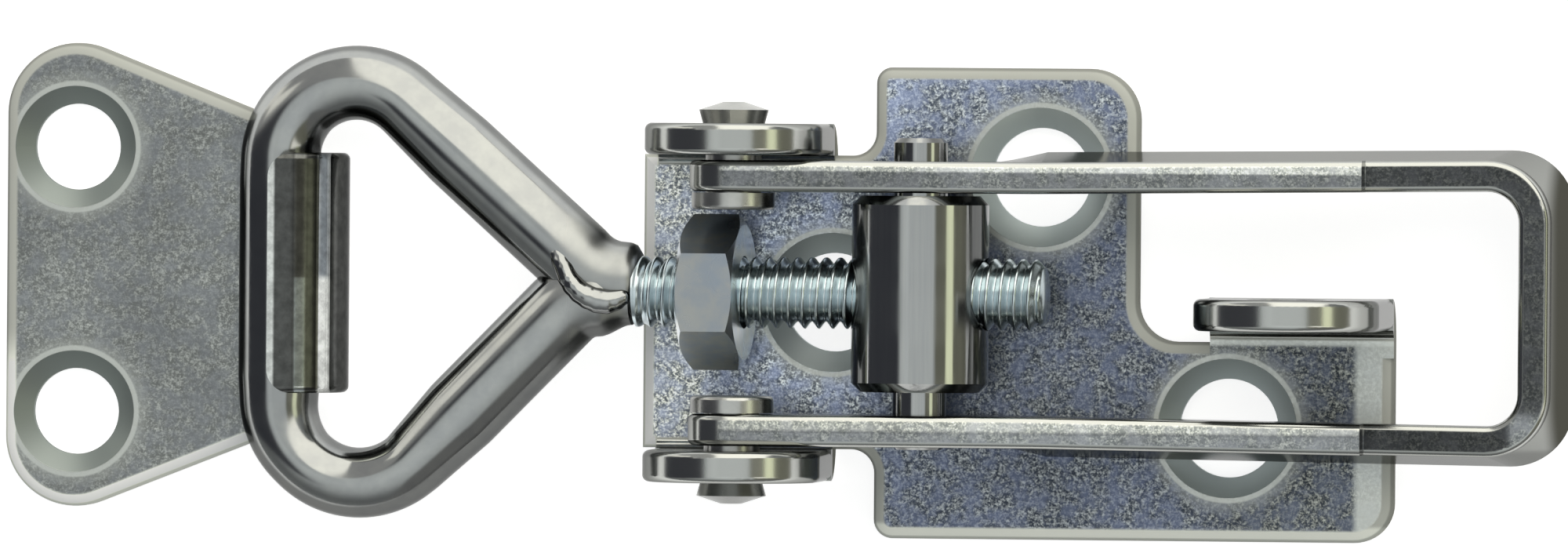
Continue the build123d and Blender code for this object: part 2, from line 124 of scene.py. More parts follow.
class ShaderSheet(NodeSheet):
    """The node tree of a material or of the world, and where its point lies."""

    along: Socket
    across: Socket

    def __init__(self, tree: NodeTree) -> None:
        """Clears the tree and keeps it."""
        self.tree = tree
        self.tree.nodes.clear()

    def show(self, shader: Node, output: str = "ShaderNodeOutputMaterial") -> None:
        """Feeds a shader to the tree's output."""
        self.node(output, {"Surface": shader.outputs[0]})

    def vectors(self, operation: str, *parts: Feed) -> Node:
        """Adds a Vector Math node that takes the parts in order."""
        return self.node("ShaderNodeVectorMath", parts, operation=operation)

    def times(self, colour: Feed, gain: Feed) -> Socket:
        """Multiplies a colour by a number."""
        inputs = {"Vector": colour, "Scale": gain}
        return self.node("ShaderNodeVectorMath", inputs, operation="SCALE").outputs[0]

    def ramp(self, value: Feed, low: float, high: float, start: float = 0.0, end: float = 1.0) -> Socket:
        """Maps a value smoothly and clamps it: start at and below low, end at and above high."""
        inputs = (value, low, high, start, end)
        return self.node("ShaderNodeMapRange", inputs, interpolation_type="SMOOTHSTEP").outputs[0]

    def inside(self, value: Feed, low: float, high: float, soft: float) -> Socket:
        """Gives 1 between two values and 0 outside them, with soft borders."""
        rise = self.ramp(value, low - soft / 2, low + soft / 2)
        return self.math("MULTIPLY", rise, self.ramp(value, high - soft / 2, high + soft / 2, 1.0, 0.0))

    def stops(self, value: Feed, points: Sequence[tuple[float, Colour]]) -> Socket:
        """Maps a value through colours, in straight lines from each to the next.

        Args:
            value: The socket to map, from 0 to 1.
            points: Pairs of the value and the colour, from low to high.

        Returns:
            The colour.
        """
        made = self.node("ShaderNodeValToRGB", (value,))
        stops = made.color_ramp.elements
        while len(stops) < len(points):
            stops.new(0.5)
        for stop, (place, colour) in zip(stops, points):
            stop.position = place
            stop.color = (*colour, 1.0)
        return made.outputs["Color"]

    def curve(self, value: Feed, points: Sequence[Pair]) -> Socket:
        """Maps a value through straight lines between points.

        Args:
            value: The socket to map.
            points: Pairs of the value and the result, from low to high.

        Returns:
            The mapped value.
        """
        low, high = points[0][0], points[-1][0]
        top = max(result for _, result in points)
        greys = [((place - low) / (high - low), (result / top,) * 3) for place, result in points]
        part = self.math("DIVIDE", self.math("SUBTRACT", value, low), high - low)
        return self.math("MULTIPLY", self.stops(part, greys), top)

    def noise(self, vector: Feed, grain: Grain) -> Socket:
        """Adds a noise pattern and returns its grey value before the ramp."""
        look = {"Scale": grain.scale, "Detail": grain.detail, "Roughness": grain.roughness}
        return self.node("ShaderNodeTexNoise", {"Vector": vector, **look}).outputs["Fac"]

    def pattern(self, vector: Feed, grain: Grain) -> Socket:
        """Adds a noise pattern and returns it after its ramp."""
        return self.ramp(self.noise(vector, grain), grain.low, grain.high, grain.start, grain.end)

    def mix(self, share: Feed, first: Feed, second: Feed) -> Socket:
        """Mixes two numbers: the first where the share is 0, the second where it is 1."""
        rest = self.math("MULTIPLY", first, self.math("SUBTRACT", 1.0, share))
        return self.math("ADD", rest, self.math("MULTIPLY", second, share))

    def blend(self, share: Feed, first: Feed, second: Feed) -> Socket:
        """Mixes two colours.

        Args:
            share: The second colour's share.
            first: The colour, or its socket, where the share is 0.
            second: The colour, or its socket, where the share is 1.

        Returns:
            The mixed colour.
        """
        made = self.node("ShaderNodeMix", {"Factor": share}, data_type="RGBA")
        sockets = [socket for socket in made.inputs if socket.type == "RGBA"]
        for colour, socket in zip((first, second), sockets):
            self.join((*colour, 1.0) if isinstance(colour, tuple) else colour, socket)
        return [socket for socket in made.outputs if socket.type == "RGBA"][0]


# ---- finishes ----


class Surface(ShaderSheet):
    """A material's tree, with its point's place in millimetres and the direction it faces.

    Both are read in the piece's own frame, so they move with it.
    """

    def __init__(self, tree: NodeTree) -> None:
        """Clears the tree and reads the point.

        Args:
            tree: The node tree of the material.
        """
        super().__init__(tree)
        read = self.node("ShaderNodeTexCoord").outputs
        self.place = read["Object"]
        parts = [self.math("MULTIPLY", part, 1 / MM) for part in self.split(self.place)]
        self.along, self.across, self.above = parts
        _, self.sideways, self.upward = self.split(read["Normal"])

    def painted_flank_shading(self, start: float, end: float, gain: float) -> Socket:
        """Paints light and shade: a colour gain that goes from 1 on level faces to its own value between
        two steepnesses.
        """
        steep = self.math("SUBTRACT", 1.0, self.math("ABSOLUTE", self.upward))
        return self.ramp(steep, start, end, 1.0, gain)

    def bump(self, height: Feed, strength: Feed, depth: float) -> Socket:
        """Gives the surface's normal with a relief of a depth in metres."""
        inputs = {"Height": height, "Strength": strength, "Distance": depth}
        return self.node("ShaderNodeBump", inputs).outputs[0]

    def metal(self, colour: Feed, rough: Feed, normal: Feed, glance: float) -> None:
        """Ends the tree in a bare metal.

        Args:
            colour: Its colour.
            rough: Its roughness.
            normal: The surface's normal with its relief.
            glance: The brightness that is left where the metal is seen at a low angle.
        """
        inputs = {"Base Color": colour, "Roughness": rough, "Normal": normal, "Metallic": 1.0}
        inputs["Specular Tint"] = (*(glance,) * 3, 1.0)
        self.show(self.node("ShaderNodeBsdfPrincipled", inputs))


@dataclass(frozen=True)
class Area:
    """A rectangle with soft borders: left and right run along the latch, near and far across."""

    left: float = -200.0
    right: float = 200.0
    near: float = -200.0
    far: float = 200.0
    soft: float = 4.0

    def share(self, sheet: ShaderSheet) -> Socket:
        """Gives 1 inside the area and 0 outside it."""
        share = sheet.inside(sheet.along, self.left, self.right, self.soft)
        return sheet.math("MULTIPLY", share, sheet.inside(sheet.across, self.near, self.far, self.soft))


@dataclass(frozen=True)
class Zone(Area):
    """A stretch of a sheet, in millimetres, and a gain for it: most zones paint light and shade by
    lightening or darkening the colour there.
    """

    gain: float = 1.0
    hue: Colour = (1.0, 1.0, 1.0)

    def paint(self, sheet: Surface, colour: Feed) -> Socket:
        """Paints light and shade by lightening or darkening a colour inside the zone."""
        tuned = sheet.vectors("MULTIPLY", colour, tuple(self.gain * channel for channel in self.hue))
        return sheet.blend(self.share(sheet), colour, tuned.outputs[0])


@dataclass(frozen=True)
class Finish:
    """A surface that is written as shader nodes."""

    name: str

    def write(self, sheet: Surface) -> None:
        """Writes the nodes, which each kind of finish has of its own."""
        raise NotImplementedError

    def material(self) -> Material:
        """Builds the finish.

        Returns:
            The finished material.
        """
        made = bpy.data.materials.new(self.name)
        made.use_nodes = True
        self.write(Surface(made.node_tree))
        return made


@dataclass(frozen=True)
class Regions:
    """The parts of a sheet, each 1 at its own points and 0 at others.

    The spots are a grey mottling, the hole is the millimetres from the nearest hole's axis.
    """

    spots: Socket
    hole: Socket
    plate: Socket
    curl: Socket
    cone: Socket
    face: Socket


@dataclass(frozen=True)
class TumbledZinc(Finish):
    """Sheet steel that was tumbled and zinc plated.

    Its flat faces are speckled, the rims that punching rounded are matt and pale, the upright
    edges are brighter, and each countersink is smooth with a pale halo and a painted highlight
    ring round it. Stretches of it carry painted light and shade, and its steep sides painted shade.
    """

    # colours of the speckled faces, the rims, the upright edges and the countersinks
    light: Colour = (0.52, 0.55, 0.56)
    dark: Colour = (0.05, 0.06, 0.08)
    tint: Colour = (0.16, 0.19, 0.29)
    rim: Colour = (0.66, 0.67, 0.63)
    edge: Colour = (0.50, 0.51, 0.49)
    cone: Colour = (0.45, 0.49, 0.48)
    halo: Colour = (0.44, 0.455, 0.43)

    # millimetres: the screw holes' axes, the countersinks' radius, the sheet's thickness
    holes: tuple[Pair, ...] = ()
    sink: float = 6.2
    sink_blend: float = 0.03
    sheet: float = 2.8
    above_sheet: Pair = (0.05, 0.15)

    # stretches with painted light and shade: of the faces, the edges and the curl; pale stripes; where
    # the curl starts, painted reflection bands along it, and a strip whose normal leans
    painted_face_shading: tuple[Zone, ...] = ()
    pale_stripes: tuple[Zone, ...] = ()
    painted_edge_shading: tuple[Zone, ...] = ()
    painted_curl_shading: tuple[Zone, ...] = ()
    curl_from: float = FAR
    curl_blend: float = 0.4
    painted_curl_reflections: tuple[Pair, ...] = ((0.0, 1.0), (1.0, 1.0))
    flat_strip: Zone = Zone(left=FAR)

    # the plating's patterns: two that make its speckle, dull patches, clouds, scores on the curl
    mottle: Grain = Grain(2500.0, 3.0, 0.68)
    flecks: Grain = Grain(5600.0, 2.0, 0.6)
    mottle_share: float = 0.55
    speckle: Pair = (0.416, 0.68)
    patches: Grain = Grain(620.0, 2.0, 0.6, 0.36, 0.68, 0.0, 0.7)
    clouds: Grain = Grain(150.0, 2.0, 0.55, 0.3, 0.7, 0.9, 1.12)
    scores: Grain = Grain(900.0, 3.0, 0.65, 0.25, 0.75, 0.72, 1.2)

    # the halo: its glow's start, end and share, its painted highlight ring's width, softness and share,
    # the pale stripes' share
    glow: Triple = (0.4, 1.9, 0.45)
    ring: Triple = (0.45, 0.2, 0.85)
    ring_highlight_gain: float = 1.35
    pale_stripe_share: float = 0.8

    # how level a face is, its roughness, how far rims' normals are eased upward, and the relief
    level: Pair = (0.955, 0.998)
    face_spots: Pair = (0.35, 0.65)
    face_roughness: Pair = (0.42, 0.28)
    rim_roughness: float = 0.7
    edge_roughness: float = 0.17
    cone_roughness: float = 0.5
    rim_ease: float = 2.2
    cone_ease: float = 0.15
    eased_from: Pair = (-0.05, 0.05)
    relief: float = 0.00003
    relief_shares: Pair = (0.12, 0.5)
    # painted shade on steep faces: the steepness where it starts and ends and the gain beyond it
    painted_flank_shading: Triple = (0.6, 0.85, 1.0)
    glance: float = 1.0

    def regions(self, sheet: Surface) -> Regions:
        """Tells the parts of the sheet from each other.

        Args:
            sheet: The material's tree.

        Returns:
            The point's share in each part.
        """
        mottle, flecks = (sheet.noise(sheet.place, grain) for grain in (self.mottle, self.flecks))
        spots = sheet.mix(self.mottle_share, flecks, mottle)
        hole = sheet.math("ADD", FAR, 0.0)
        for axis in self.holes:
            reach = sheet.vectors("DISTANCE", sheet.gather(sheet.along, sheet.across), (*axis, 0.0))
            hole = sheet.math("MINIMUM", reach.outputs["Value"], hole)
        level = sheet.ramp(sheet.math("ABSOLUTE", sheet.upward), *self.level)
        low, high = (self.sheet + above for above in self.above_sheet)
        plate = sheet.ramp(sheet.above, low, high, 1.0, 0.0)
        curl = sheet.ramp(sheet.along, self.curl_from, self.curl_from + self.curl_blend)
        curl = sheet.math("SUBTRACT", curl, sheet.math("MULTIPLY", curl, plate))
        cone = sheet.ramp(hole, self.sink - self.sink_blend, self.sink + self.sink_blend, 1.0, 0.0)
        cone = sheet.math("MULTIPLY", cone, sheet.math("SUBTRACT", 1.0, level))
        face = sheet.math("MULTIPLY", level, sheet.math("SUBTRACT", plate, curl))
        return Regions(spots, hole, plate, curl, cone, face)

    def faces(self, sheet: Surface, parts: Regions) -> Socket:
        """Colours the speckled faces, with painted light and shade in stretches, pale stripes, a pale
        halo and a painted highlight ring round each countersink.

        Args:
            sheet: The material's tree.
            parts: The parts of the sheet.

        Returns:
            The colour.
        """
        colour = sheet.blend(sheet.ramp(parts.spots, *self.speckle), self.dark, self.light)
        colour = sheet.blend(sheet.pattern(sheet.place, self.patches), colour, self.tint)
        colour = sheet.times(colour, sheet.pattern(sheet.place, self.clouds))
        # painted light and shade in stretches of the faces
        for zone in self.painted_face_shading:
            colour = zone.paint(sheet, colour)
        # pale stripes in the halo's colour
        for zone in self.pale_stripes:
            share = sheet.math("MULTIPLY", zone.share(sheet), self.pale_stripe_share)
            colour = sheet.blend(share, colour, sheet.times(self.halo, zone.gain))
        start, end, share = self.glow
        glow = sheet.ramp(parts.hole, self.sink + start, self.sink + end, share, 0.0)
        colour = sheet.blend(glow, colour, self.halo)
        # painted highlight: a pale ring round each countersink's rim
        width, soft, share = self.ring
        ring = sheet.inside(parts.hole, self.sink, self.sink + width, soft)
        ring = sheet.math("MULTIPLY", ring, share)
        return sheet.blend(ring, colour, sheet.times(self.halo, self.ring_highlight_gain))

    def colour(self, sheet: Surface, parts: Regions) -> Socket:
        """Colours the rims, edges, countersinks and faces, with painted shade on steep sides, and the
        hook's curl with painted reflection bands and scores.

        Args:
            sheet: The material's tree.
            parts: The parts of the sheet.

        Returns:
            The colour.
        """
        side = sheet.blend(parts.plate, self.edge, self.rim)
        # painted light and shade on stretches of the edges
        for zone in self.painted_edge_shading:
            side = zone.paint(sheet, side)
        # painted shade on the steep sides
        side = sheet.times(side, sheet.painted_flank_shading(*self.painted_flank_shading))
        side = sheet.blend(parts.cone, side, self.cone)
        colour = sheet.blend(parts.face, side, self.faces(sheet, parts))
        # painted reflection bands along the curl, scored by a noise pattern
        painted_bands_and_scores = sheet.curve(sheet.along, self.painted_curl_reflections)
        painted_bands_and_scores = sheet.math("MULTIPLY", painted_bands_and_scores, sheet.pattern(sheet.place, self.scores))
        rolled = sheet.times(self.edge, painted_bands_and_scores)
        # painted light and shade on stretches of the curl
        for zone in self.painted_curl_shading:
            rolled = zone.paint(sheet, rolled)
        return sheet.blend(parts.curl, colour, rolled)

    def normal(self, sheet: Surface, parts: Regions) -> Socket:
        """Roughens the faces and eases the rims, which makes them look rounder.

        Args:
            sheet: The material's tree.
            parts: The parts of the sheet.

        Returns:
            The normal.
        """
        strip = sheet.math("MULTIPLY", self.flat_strip.share(sheet), self.flat_strip.gain)
        lift = sheet.mix(parts.plate, strip, self.rim_ease)
        lift = sheet.mix(parts.cone, lift, self.cone_ease)
        lift = sheet.math("MULTIPLY", lift, sheet.ramp(sheet.upward, *self.eased_from))
        ways = {"convert_from": "OBJECT", "convert_to": "WORLD"}
        turned = sheet.node("ShaderNodeVectorTransform", (sheet.gather(0.0, 0.0, lift),), **ways)
        strength = sheet.ramp(parts.face, 0.0, 1.0, *self.relief_shares)
        bump = sheet.bump(parts.spots, strength, self.relief)
        leaning = sheet.vectors("ADD", bump, turned.outputs[0])
        return sheet.vectors("NORMALIZE", leaning.outputs[0]).outputs[0]

    def write(self, sheet: Surface) -> None:
        """Writes the finish's nodes.

        Args:
            sheet: The material's tree.
        """
        parts = self.regions(sheet)
        face = sheet.ramp(parts.spots, *self.face_spots, *self.face_roughness)
        rim = sheet.ramp(parts.plate, 0.0, 1.0, self.edge_roughness, self.rim_roughness)
        rough = sheet.mix(parts.face, sheet.mix(parts.cone, rim, self.cone_roughness), face)
        sheet.metal(self.colour(sheet, parts), rough, self.normal(sheet, parts), self.glance)


@dataclass(frozen=True)
class BrightZinc(Finish):
    """Smooth steel with bright zinc: drawn wire or turned pins, with faint grain.

    Each painted flank shading is the steepness where a change starts and ends and the gain beyond it, on
    the near side and the far side; a gain below 1 paints shade and one above 1 paints light. Satin is the
    roughness beyond a start and an end along the latch.
    """

    colour: Colour = (0.42, 0.43, 0.42)
    shade: Colour = (0.37, 0.38, 0.38)
    roughness: float = 0.16
    roughness_range: Pair = (-0.03, 0.06)
    grain: Triple = (400.0, 400.0, 400.0)
    lines: Grain = Grain(1.0, 3.0, 0.6)
    clouds: Grain = Grain(160.0, 2.0, 0.5)
    waviness: float = 0.25
    relief: float = 0.00004
    # painted shade on steep faces, on the near side and the far side, and which way the far side faces
    painted_flank_shading: Triple = (0.25, 0.42, 0.3)
    painted_far_flank_shading: Triple = (0.25, 0.42, 0.3)
    far_side_for_shading: Pair = (-0.1, 0.4)
    satin: Triple = (FAR, FAR + 1.0, 0.3)
    glance: float = 1.0

    def write(self, sheet: Surface) -> None:
        """Writes the finish's nodes.

        Args:
            sheet: The material's tree.
        """
        stretched = sheet.node("ShaderNodeMapping", {"Vector": sheet.place, "Scale": self.grain})
        lines = sheet.noise(stretched.outputs[0], self.lines)
        clouds = sheet.noise(sheet.place, self.clouds)
        streaks = sheet.ramp(lines, self.lines.low, self.lines.high)
        colour = sheet.blend(streaks, self.shade, self.colour)
        # painted shade on the flanks, with its own gain on the far side
        far = sheet.ramp(sheet.sideways, *self.far_side_for_shading)
        gain = sheet.mix(far, sheet.painted_flank_shading(*self.painted_flank_shading), sheet.painted_flank_shading(*self.painted_far_flank_shading))
        colour = sheet.times(colour, gain)
        least, most = (self.roughness + change for change in self.roughness_range)
        rough = sheet.ramp(clouds, self.clouds.low, self.clouds.high, least, most)
        start, end, satin = self.satin
        rough = sheet.mix(sheet.ramp(sheet.along, start, end), rough, satin)
        relief = sheet.bump(sheet.math("ADD", lines, clouds), self.waviness, self.relief)
        sheet.metal(colour, rough, relief, self.glance)


@dataclass(frozen=True)
class PaleFloor(Finish):
    """A matt floor that glows evenly where the camera or the metal sees it."""

    grey: float = 0.55
    glow: float = 0.8

    def write(self, sheet: Surface) -> None:
        """Writes the finish's nodes.

        Args:
            sheet: The material's tree.
        """
        matt = sheet.node("ShaderNodeBsdfDiffuse", {"Color": (*(self.grey,) * 3, 1.0)})
        rays = sheet.node("ShaderNodeLightPath").outputs
        seen = sheet.math("MAXIMUM", rays["Is Glossy Ray"], rays["Is Transmission Ray"])
        seen = sheet.math("MAXIMUM", rays["Is Camera Ray"], seen)
        glow = sheet.node("ShaderNodeEmission", {"Strength": sheet.math("MULTIPLY", seen, self.glow)})
        sheet.show(sheet.node("ShaderNodeAddShader", (matt.outputs[0], glow.outputs[0])))


# ---- meshes ----


def link(name: str, data: bpy.types.ID) -> bpy.types.Object:
    """Puts a mesh or a camera into the scene.

    Args:
        name: The name of the object.
        data: The mesh or camera.

    Returns:
        The object, which stands at the origin.
    """
    made = bpy.data.objects.new(name, data)
    bpy.context.scene.collection.objects.link(made)
    return made


def smooth(mesh: Mesh, angle: float) -> None:
    """Shades a mesh smoothly, except across edges sharper than the angle in degrees."""
    mesh.polygons.foreach_set("use_smooth", [True] * len(mesh.polygons))
    mesh.set_sharp_from_angle(angle=math.radians(angle))


def tube(path: Sequence[Vector], across: Sequence[Vector], sizes: Sequence[Pair], sides: int) -> Mesh:
    """Sweeps an oval along a path that lies in one plane, and closes both ends.

    Args:
        path: The points of the axis.
        across: For each point, the direction in the path's plane at right angles to the axis.
        sizes: For each point, the half-widths in the plane and out of it.
        sides: The number of faces round the oval.

    Returns:
        The swept mesh.
    """
    shape = bmesh.new()
    rings = []
    lift = (path[1] - path[0]).cross(across[0]).normalized()
    for centre, side, (wide, tall) in zip(path, across, sizes):
        ring = []
        for step in range(sides):
            turn = 2 * math.pi * step / sides
            offset = side * (wide * math.cos(turn)) + lift * (tall * math.sin(turn))
            ring.append(shape.verts.new(centre + offset))
        rings.append(ring)
    for first, second in zip(rings, rings[1:]):
        for step in range(sides):
            after = (step + 1) % sides
            shape.faces.new((first[step], first[after], second[after], second[step]))
    for ring, centre in ((rings[0], path[0]), (rings[-1], path[-1])):
        tip = shape.verts.new(centre)
        for step in range(sides):
            shape.faces.new((ring[step], ring[(step + 1) % sides], tip))
    mesh = bpy.data.meshes.new("tube")
    shape.to_mesh(mesh)
    shape.free()
    return mesh


def spread(route: list[Vector], end: Vector, step: float) -> None:
    """Adds evenly spaced points from the route's last point to an end point.

    Args:
        route: The points so far, which are added to.
        end: The last point to add.
        step: The distance between points.
    """
    start = route[-1].copy()
    count = max(1, int((end - start).length / step))
    route.extend(start.lerp(end, part / count) for part in range(1, count + 1))


def rounded_path(corners: Sequence[Pair], radii: Sequence[float], step: float) -> list[Vector]:
    """Follows a run of straight lines whose inner corners are rounded.

    Args:
        corners: The corner points in the plane.
        radii: The radius at each inner corner.
        step: The distance between points.

    Returns:
        The points, evenly spread along each line and arc.
    """
    points = [Vector(corner) for corner in corners]
    route: list[Vector] = [points[0]]
    for index, radius in enumerate(radii, start=1):
        before, corner, after = points[index - 1 : index + 2]
        back = (before - corner).normalized()
        ahead = (after - corner).normalized()
        half = back.angle(ahead) / 2
        start = corner + back * (radius / math.tan(half))
        end = corner + ahead * (radius / math.tan(half))
        centre = corner + (back + ahead).normalized() * (radius / math.sin(half))
        spread(route, start, step)
        swing = math.pi - 2 * half
        arm = start - centre
        turn = 1.0 if arm.cross(end - centre) > 0 else -1.0
        count = max(4, int(swing * radius / step))
        for part in range(1, count + 1):
            route.append(centre + Matrix.Rotation(turn * swing * part / count, 2) @ arm)
    spread(route, points[-1], step)
    return route


# ---- geometry nodes ----


class GeometrySheet(NodeSheet):
    """A Geometry Nodes tree whose sizes are named inputs of its modifier."""

    def __init__(self, name: str) -> None:
        """Makes an empty tree with a geometry input and output.

        Args:
            name: The name of the tree and of the mesh it makes.
        """
        self.name = name
        self.tree = bpy.data.node_groups.new(name, "GeometryNodeTree")
        for way in ("INPUT", "OUTPUT"):
            self.tree.interface.new_socket("Geometry", in_out=way, socket_type="NodeSocketGeometry")
        self.source = self.node("NodeGroupInput")
        self.result = self.node("NodeGroupOutput")

    def size(self, name: str, value: float) -> Socket:
        """Adds a named number to the tree's inputs.

        Args:
            name: The input's name.
            value: Its value.

        Returns:
            The socket that carries it inside the tree.
        """
        made = self.tree.interface.new_socket(name, in_out="INPUT", socket_type="NodeSocketFloat")
        made.default_value = value
        return self.source.outputs[name]

    def bake(self, geometry: Socket, start: Mesh | None = None) -> Mesh:
        """Runs the tree and returns its geometry as a plain mesh.

        Args:
            geometry: The socket with the finished geometry.
            start: The mesh that enters the tree, if it needs one.

        Returns:
            The evaluated mesh, with no modifier left.
        """
        self.join(geometry, self.result.inputs[0])
        maker = self.name + "_maker"
        holder = link(maker, start or bpy.data.meshes.new(maker))
        modifier = holder.modifiers.new(self.name, "NODES")
        modifier.node_group = self.tree
        graph = bpy.context.evaluated_depsgraph_get()
        mesh = bpy.data.meshes.new_from_object(holder.evaluated_get(graph))
        mesh.materials.clear()  # the tree leaves one empty slot
        mesh.name = self.name
        bpy.data.objects.remove(holder)
        return mesh


# ---- the latch ----


@dataclass
class BoltFrame:
    """Where the draw bolt lies: its rod runs through the trunnion and slopes to the hook's bar."""

    trunnion: Triple = (16.5, 0.9, 11.0)
    bar_x: float = -41.5
    bar_z: float = 6.21

    @property
    def slope(self) -> float:
        """Angle of the rod above the mounting face, in radians."""
        return math.atan2(self.trunnion[2] - self.bar_z, self.trunnion[0] - self.bar_x)

    @property
    def reach(self) -> float:
        """Distance from the trunnion's axis to the bar's axis."""
        return math.hypot(self.trunnion[2] - self.bar_z, self.trunnion[0] - self.bar_x)

    @property
    def matrix(self) -> Matrix:
        """Turns millimetres along, across and above the rod into metres in the latch's frame."""
        place = Matrix.Translation(Vector(self.trunnion) * MM)
        return place @ Matrix.Rotation(-self.slope, 4, "Y") @ Matrix.Scale(MM, 4)


@dataclass
class DrawBolt:
    """The wire loop with its weld and the threaded rod, in millimetres along and across the rod."""

    place: BoltFrame

    # the loop's outline, with its bends in order from the tail to the neck
    wire: float = 7.3
    loop_length: float = 30.2
    lower_root_back: float = 2.6
    upper_angle: float = 41.7
    lower_angle: float = 45.2
    bends: tuple[float, float, float, float] = (4.6, 7.35, 6.95, 5.8)
    path_step: float = 0.4
    sides: int = 56

    # where the wire was bent round a former: the former's place across, the width that is left
    formers: tuple[Pair, ...] = ((-16.4, 0.86), (18.2, 0.91))
    former_ahead: float = 7.0
    former_reach: float = 5.0
    former_fade: float = 6.0

    # the tail: how far its end and its root lie back and aside, and its half-widths at the end
    tail_end: Pair = (0.4, 0.45)
    tail_root: Pair = (0.4, 0.4)
    tail_size: Pair = (2.55, 2.5)
    tail_swell: float = 3.0

    # the neck: its place aside and over the thread, its taper, its shoulder and its end's size
    neck_rise: float = 1.05
    neck_cover: float = 0.35
    neck_taper: float = 6.0
    neck_thinner: float = 0.42
    neck_shoulder: float = 1.1
    neck_size: float = 2.4

    # the thread: its crest ends and its root starts at shares of half a pitch; its ends, its grid
    thread: float = 6.35
    pitch: float = 1.27
    depth: float = 0.62
    overhang: float = 11.4
    bend_to_thread: float = 0.19
    crest_ends: float = 0.12
    root_starts: float = 0.9
    run_out: float = 1.6
    bevel: float = 0.85
    end_cap: float = 0.02
    round_points: int = 49
    rows_a_turn: int = 14
    seam: float = 0.0001

    # the weld's beads, each a point and a radius, and how they are melted together
    beads: tuple[tuple[float, float, float, float], ...] = (
        (-32.3, 3.3, 2.9, 0.85), (-31.9, 2.6, 3.1, 0.9), (-31.5, 1.9, 3.25, 0.95),
        (-31.2, 1.2, 3.3, 1.0), (-30.7, 0.5, 3.3, 1.05), (-30.1, -0.1, 3.25, 1.1),
        (-29.4, -0.5, 3.2, 1.15), (-28.6, -0.8, 3.05, 1.2), (-27.8, -0.9, 2.9, 1.15),
        (-27.0, -0.75, 2.8, 1.0), (-26.4, -0.5, 2.8, 0.8),
    )
    melt_grid: float = 0.16
    melt_skin: float = 0.1
    melt_rounds: int = 5

    finish: BrightZinc = BrightZinc(
        "bright_zinc_wire",
        waviness=0.05,
        roughness=0.12,
        # painted shade on the wire's flanks, darker on the near side
        painted_flank_shading=(0.23, 0.35, 0.33),
        painted_far_flank_shading=(0.42, 0.6, 0.6),
        glance=0.6,
        satin=(-18.0, -13.0, 0.34),
    )
    thread_finish: BrightZinc = BrightZinc(
        "blue_zinc_thread",
        colour=(0.70, 0.79, 0.82),
        shade=(0.54, 0.62, 0.65),
        roughness=0.2,
        # painted shade on the thread's flanks
        painted_flank_shading=(0.3, 0.6, 0.7),
        painted_far_flank_shading=(0.3, 0.6, 0.8),
    )
    # the weld keeps the default painted shade on its flanks
    weld_finish: BrightZinc = BrightZinc("zinc_weld", waviness=0.12)

    @property
    def thread_start(self) -> float:
        """Distance from the trunnion's axis back to the end of the thread."""
        bend = self.bends[-1] * math.tan(math.radians(self.upper_angle) / 2)
        return self.place.reach - self.loop_length - bend - self.bend_to_thread

    def thinned(self, point: Vector) -> float:
        """How much of the wire's width is left where it was bent round a former.

        Args:
            point: A point of the wire's axis.

        Returns:
            The share of the width, which is 1 away from the formers.
        """
        share = 1.0
        for across, least in self.formers:
            former = Vector((self.former_ahead - self.place.reach, across, 0.0))
            away = ((point - former).length - self.former_reach) / self.former_fade
            share = min(share, least + (1.0 - least) * min(1.0, max(0.0, away)))
        return share

    def half_widths(self, path: Sequence[Vector], index: int) -> Pair:
        """Gives the wire its size at one point of its axis.

        Args:
            path: The points of the axis.
            index: The point's number.

        Returns:
            The half-widths in the loop's plane and out of it.
        """
        full = self.wire / 2
        middle = (len(path) - 1) / 2
        to_tail = (path[index] - path[0]).length
        to_neck = (path[index] - path[-1]).length
        if index < middle and to_tail < self.tail_swell:
            part = to_tail / self.tail_swell
            part = part * part * (3 - 2 * part)
            wide, tall = (least + (full - least) * part for least in self.tail_size)
            return wide, tall
        if index > middle and to_neck < self.neck_taper:
            taper = full - self.neck_thinner * (1 - to_neck / self.neck_taper)
            part = min(to_neck, self.neck_shoulder) / self.neck_shoulder
            half = self.neck_size + (taper - self.neck_size) * math.sqrt(max(0.0, 1 - (1 - part) ** 2))
            return half, half
        return full * self.thinned(path[index]), full

    def loop(self) -> Mesh:
        """Sweeps the wire from its welded end round the loop and into the neck.

        Returns:
            The mesh in the rod's own millimetres.
        """
        reach = self.place.reach
        thread = -self.thread_start
        upper_root = -reach + self.loop_length
        lower_root = upper_root - self.lower_root_back
        upper_slope = math.tan(math.radians(self.upper_angle))
        lower_slope = math.tan(math.radians(self.lower_angle))
        corners = [
            (thread - self.tail_end[0], -self.tail_end[1]),
            (lower_root - self.tail_root[0], -self.tail_root[1]),
            (-reach, -(self.loop_length - self.lower_root_back) * lower_slope),
            (-reach, self.loop_length * upper_slope),
            (upper_root - self.neck_rise / upper_slope, self.neck_rise),
            (thread + self.neck_cover, self.neck_rise),
        ]
        path = [point.to_3d() for point in rounded_path(corners, self.bends, self.path_step)]
        across = []
        for before, after in zip(path[:1] + path, path[1:] + path[-1:]):
            ahead = after - before
            across.append(Vector((-ahead.y, ahead.x, 0.0)).normalized())
        sizes = [self.half_widths(path, index) for index in range(len(path))]
        return tube(path, across, sizes, self.sides)

